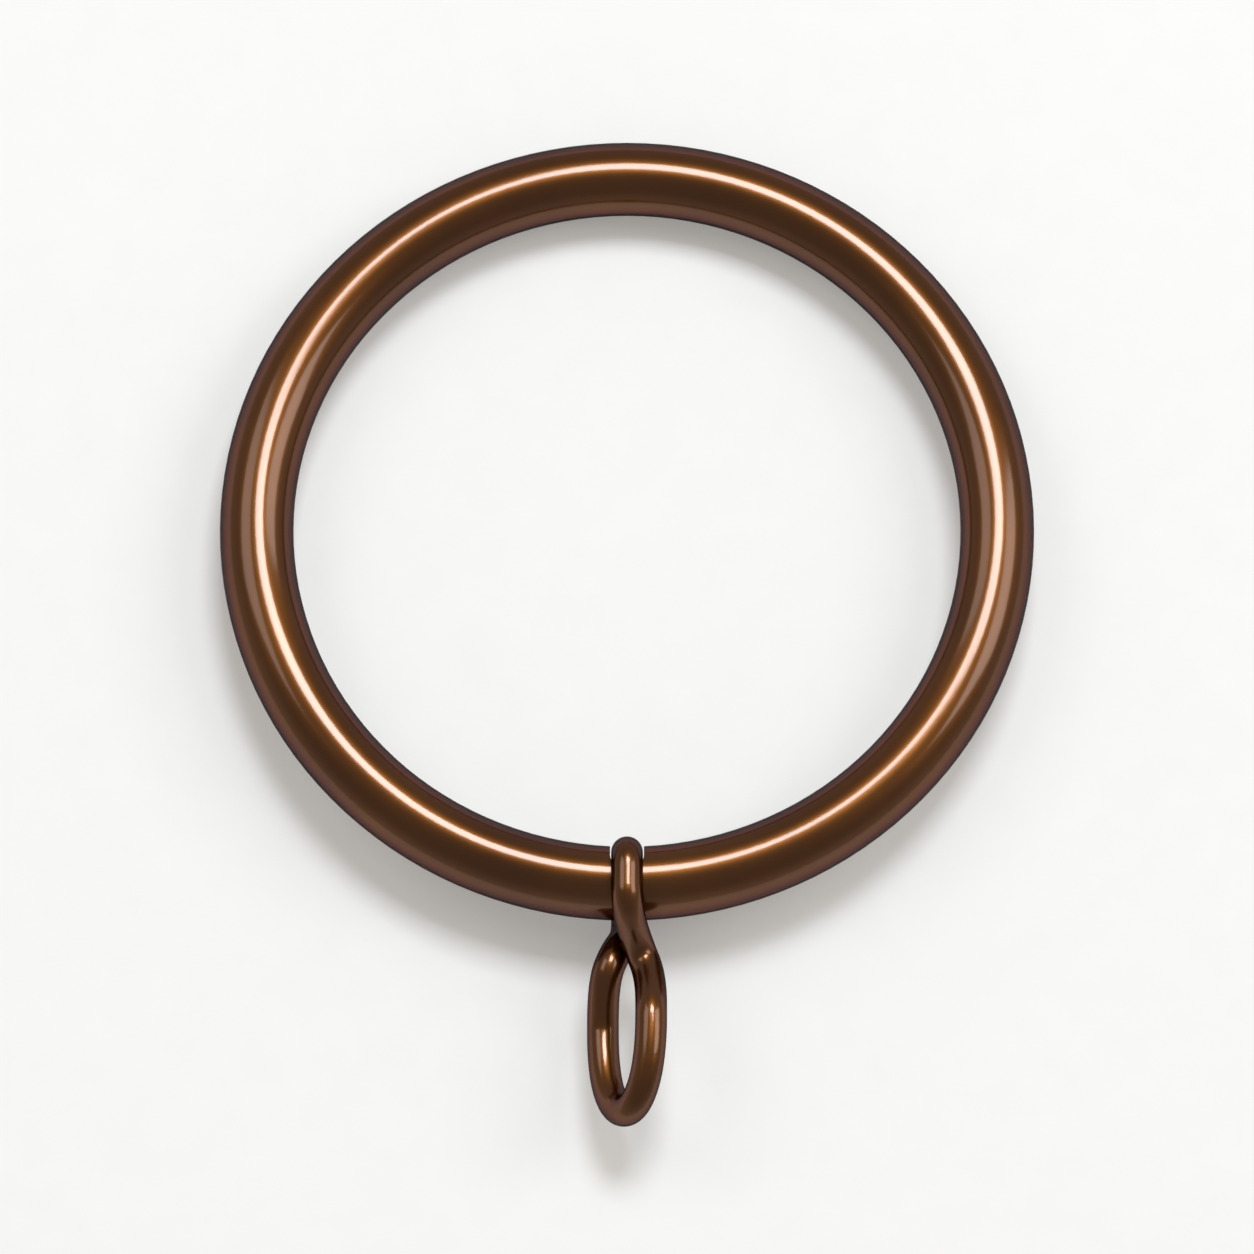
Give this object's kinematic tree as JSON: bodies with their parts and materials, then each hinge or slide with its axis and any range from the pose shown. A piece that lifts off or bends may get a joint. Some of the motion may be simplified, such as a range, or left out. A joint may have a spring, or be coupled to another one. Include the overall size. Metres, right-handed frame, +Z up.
{
  "type": "curtain ring",
  "caption": "Round metal curtain ring for a rod, with a bent wire eyelet that sits loose in a notch across the ring's inside and takes the curtain's hook.",
  "frame": {"origin": "centre of the ring, where the rod's axis passes", "axes": "+Z up from the surface it lies on, -Y from the ring's centre towards the eyelet, +X across the ring; the ring leans 2.6 degrees about X on its eyelet"},
  "size_m": [0.0464, 0.0585, 0.0081],
  "materials": {
    "ring_metal": "glossy dark bronze",
    "eyelet_metal": "glossy dark bronze"
  },
  "bodies": {
    "ring": {"ring": "ring_metal"},
    "eyelet": {"eyelet": "eyelet_metal"}
  },
  "joints": [
    {"name": "eyelet_swing", "type": "hinge", "parent": "ring", "child": "eyelet", "pos_m": [0, -0.01988, 0.0009], "axis": [0, 0.0451, 0.999], "range_deg": [-28, 28]}
  ]
}
